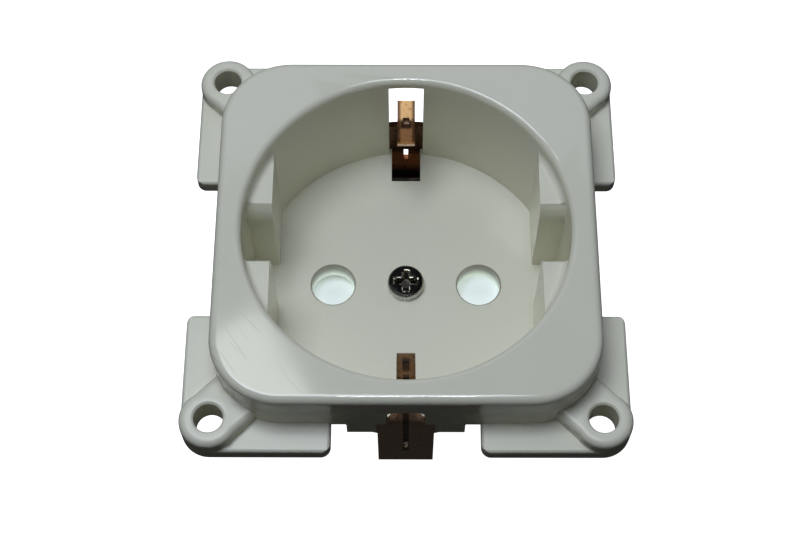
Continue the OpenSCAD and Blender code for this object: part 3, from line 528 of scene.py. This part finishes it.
def softened(node, width_mm):
    """Copy of a CAD node with its sharp edges rolled, or None if it isn't closed and the same size."""
    source = NODES[node]
    piece = bpy.data.objects.new(node + "_look", joined_mesh(source.data))
    bpy.context.scene.collection.objects.link(piece)
    roll = piece.modifiers.new("roll", "BEVEL")
    roll.width = width_mm * MM
    roll.segments = 2
    roll.limit_method = "ANGLE"
    roll.angle_limit = ROLL_ANGLE
    roll.use_clamp_overlap = True
    even = piece.modifiers.new("even", "WEIGHTED_NORMAL")
    even.mode = "FACE_AREA"
    even.weight = 100
    even.thresh = 0.01
    even.keep_sharp = True
    bpy.context.view_layer.update()
    shaped = bpy.data.meshes.new_from_object(piece.evaluated_get(bpy.context.evaluated_depsgraph_get()))
    piece.modifiers.clear()
    piece.data = shaped
    loose, volume = open_edges_and_volume(shaped)
    first_volume = open_edges_and_volume(source.data)[1]
    low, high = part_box(node)
    points = [v.co for v in shaped.vertices]
    drift = max(
        max(abs(min(p[i] for p in points) - low[i]), abs(max(p[i] for p in points) - high[i]))
        for i in range(3)
    )
    if loose or drift > LARGEST_DRIFT or abs(volume / first_volume - 1) > LARGEST_VOLUME_CHANGE:
        bpy.data.objects.remove(piece)
        return None
    return piece


ROLL_WIDTH_MM = {
    "front_housing": 0.14,
    "contact_carrier": 0.2,
    "earth_strap": 0.06,
    "shutter": 0.1,
    "live_clamp_plate": 0.08,
    "neutral_clamp_plate": 0.08,
    "earth_clamp_plate": 0.08,
    "live_contact": 0.05,
    "neutral_contact": 0.05,
    "centre_screw": 0.05,
    "live_terminal_screw": 0.06,
    "neutral_terminal_screw": 0.06,
    "earth_terminal_screw": 0.06,
}

for node, shape in NODES.items():
    piece = softened(node, ROLL_WIDTH_MM[node]) if node in ROLL_WIDTH_MM else None
    if piece is not None:
        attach(piece, BODY_OF[node])
        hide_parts(node)
    target = piece or shape
    target.data.materials.clear()
    target.data.materials.append(screw_material(node) if node.endswith("_screw") else BY_SLOT[SLOT_OF[node]])


# Floor and world

FLOOR_HALF = 3.0
FLOOR_CORNERS = ((-1, -1), (1, -1), (1, 1), (-1, 1))

plane = bpy.data.meshes.new("floor")
floor_points = [(a * FLOOR_HALF, b * FLOOR_HALF, CAD_LOW[2]) for a, b in FLOOR_CORNERS]
plane.from_pydata(floor_points, [], [(0, 1, 2, 3)])
floor = bpy.data.objects.new("floor", plane)
bpy.context.scene.collection.objects.link(floor)
pale = bpy.data.materials.new("floor")
pale.use_nodes = True
sheet = pale.node_tree.nodes["Principled BSDF"]
sheet.inputs["Base Color"].default_value = (0.90, 0.90, 0.90, 1.0)
sheet.inputs["Roughness"].default_value = 0.9
sheet.inputs["Emission Color"].default_value = (1.0, 1.0, 1.0, 1.0)
sheet.inputs["Emission Strength"].default_value = 1.1
plane.materials.append(pale)
floor.visible_diffuse = False
floor.visible_glossy = False

world = bpy.data.worlds.new("studio")
bpy.context.scene.world = world
world.use_nodes = True
world.node_tree.nodes["Background"].inputs["Color"].default_value = (1.0, 1.0, 0.97, 1.0)
world.node_tree.nodes["Background"].inputs["Strength"].default_value = 0.025


# Lamps

DAYLIGHT = (0.79, 0.855, 1.0)
FACE_CENTRE = (0, 0, 0)


def lamp(name, place_mm, aim_mm, size_mm, radiance, colour=(1.0, 1.0, 1.0), turn=0):
    """Rectangular softbox of the given radiance, aimed at a point and turned about its own axis."""
    data = bpy.data.lights.new(name, "AREA")
    data.shape = "RECTANGLE"
    data.size, data.size_y = size_mm[0] * MM, size_mm[1] * MM
    data.energy = radiance * math.pi * data.size * data.size_y
    data.color = colour
    thing = bpy.data.objects.new(name, data)
    thing.location = Vector(place_mm) * MM
    away = (Vector(place_mm) - Vector(aim_mm)).normalized()
    side = Quaternion(away, math.radians(turn)) @ Vector((0.0, 1.0, 0.0)).cross(away).normalized()
    thing.rotation_euler = Matrix((side, away.cross(side), away)).transposed().to_euler()
    bpy.context.scene.collection.objects.link(thing)
    return thing


lamp("key_softbox", (-45, 14, 300), FACE_CENTRE, (170, 100), 8.2, DAYLIGHT)
lamp("left_panel", (-81, 128, 450), (-15, -20, 8), (92, 84), 5.8, (0.97, 1.0, 0.97), 28.6)
lamp("back_panel", (0, 380, 430), FACE_CENTRE, (500, 240), 0.8, DAYLIGHT)
glint = lamp("glint_strip", (2, -55, 300), FACE_CENTRE, (44, 16), 50.0)
glint.visible_diffuse = False


# Camera

ELEVATION, AZIMUTH, ROLL = (math.radians(a) for a in (64.041, 0.282, -0.163))
EYE_MM = (-0.33, -86.89, 175.20)
LENS_MM, SENSOR_MM = 69.95, 36.0

back = Vector((
    math.sin(AZIMUTH) * math.cos(ELEVATION),
    -math.cos(AZIMUTH) * math.cos(ELEVATION),
    math.sin(ELEVATION),
))
right = Vector((math.cos(AZIMUTH), math.sin(AZIMUTH), 0.0))
up = back.cross(right)
right, up = (
    math.cos(ROLL) * right + math.sin(ROLL) * up,
    math.cos(ROLL) * up - math.sin(ROLL) * right,
)
camera_data = bpy.data.cameras.new("camera")
camera_data.sensor_width = SENSOR_MM
camera_data.lens = LENS_MM
camera_data.clip_start = 0.005
camera_data.clip_end = 20.0
camera = bpy.data.objects.new("camera", camera_data)
facing = Matrix((right, up, back)).transposed().to_4x4()
camera.matrix_world = Matrix.Translation(Vector(EYE_MM) * MM) @ facing
bpy.context.scene.collection.objects.link(camera)
bpy.context.scene.camera = camera
bpy.context.scene.view_settings.view_transform = "Standard"
